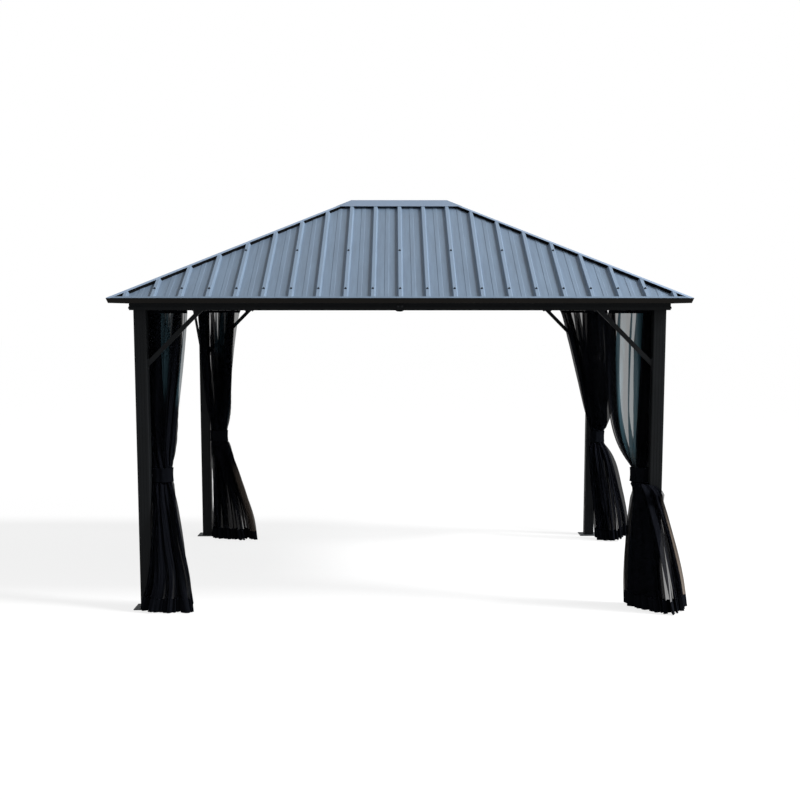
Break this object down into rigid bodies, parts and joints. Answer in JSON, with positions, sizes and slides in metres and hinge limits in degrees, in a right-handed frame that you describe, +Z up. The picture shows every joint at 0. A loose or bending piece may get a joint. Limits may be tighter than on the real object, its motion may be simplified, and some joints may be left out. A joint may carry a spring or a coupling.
{
  "type": "gazebo",
  "caption": "Hardtop garden gazebo: fluted posts with knee braces, ribbed metal hip roof with hip and ridge caps, and mosquito nets tied back at the corner posts.",
  "frame": {"origin": "on the floor, at the centre of the plan", "axes": "+X along the long eaves to the right, +Y from the front to the back, +Z up"},
  "size_m": [3.658, 2.956, 2.7351],
  "materials": {
    "frame_metal": "satin charcoal powder coat",
    "eave_trim": "satin dark brown powder coat",
    "foot_plate": "worn grey powder coat",
    "roof_sheet": "satin slate blue coated steel",
    "roof_cap": "satin slate blue coated steel",
    "net_mesh": "matt fine polyester net"
  },
  "bodies": {
    "root": {"foot_front_left": "foot_plate", "post_front_left": "frame_metal", "brace_front_left_long": "frame_metal", "brace_front_left_short": "frame_metal", "hip_rafter_front_left": "frame_metal", "hip_cap_front_left": "roof_cap", "net_front_left": "net_mesh", "foot_front_right": "foot_plate", "post_front_right": "frame_metal", "brace_front_right_long": "frame_metal", "brace_front_right_short": "frame_metal", "hip_rafter_front_right": "frame_metal", "hip_cap_front_right": "roof_cap", "net_front_right": "net_mesh", "foot_back_right": "foot_plate", "post_back_right": "frame_metal", "brace_back_right_long": "frame_metal", "brace_back_right_short": "frame_metal", "hip_rafter_back_right": "frame_metal", "hip_cap_back_right": "roof_cap", "net_back_right": "net_mesh", "foot_back_left": "foot_plate", "post_back_left": "frame_metal", "brace_back_left_long": "frame_metal", "brace_back_left_short": "frame_metal", "hip_rafter_back_left": "frame_metal", "hip_cap_back_left": "roof_cap", "net_back_left": "net_mesh", "beam_front": "frame_metal", "purlin_front": "frame_metal", "roof_sheet_front": "roof_sheet", "eave_trim_front": "eave_trim", "beam_right": "frame_metal", "purlin_right": "frame_metal", "roof_sheet_right": "roof_sheet", "eave_trim_right": "eave_trim", "beam_back": "frame_metal", "purlin_back": "frame_metal", "roof_sheet_back": "roof_sheet", "eave_trim_back": "eave_trim", "beam_left": "frame_metal", "purlin_left": "frame_metal", "roof_sheet_left": "roof_sheet", "eave_trim_left": "eave_trim", "beam_splice_front": "frame_metal", "beam_splice_back": "frame_metal", "ridge_beam": "frame_metal", "ridge_cap": "roof_cap"}
  },
  "joints": []
}
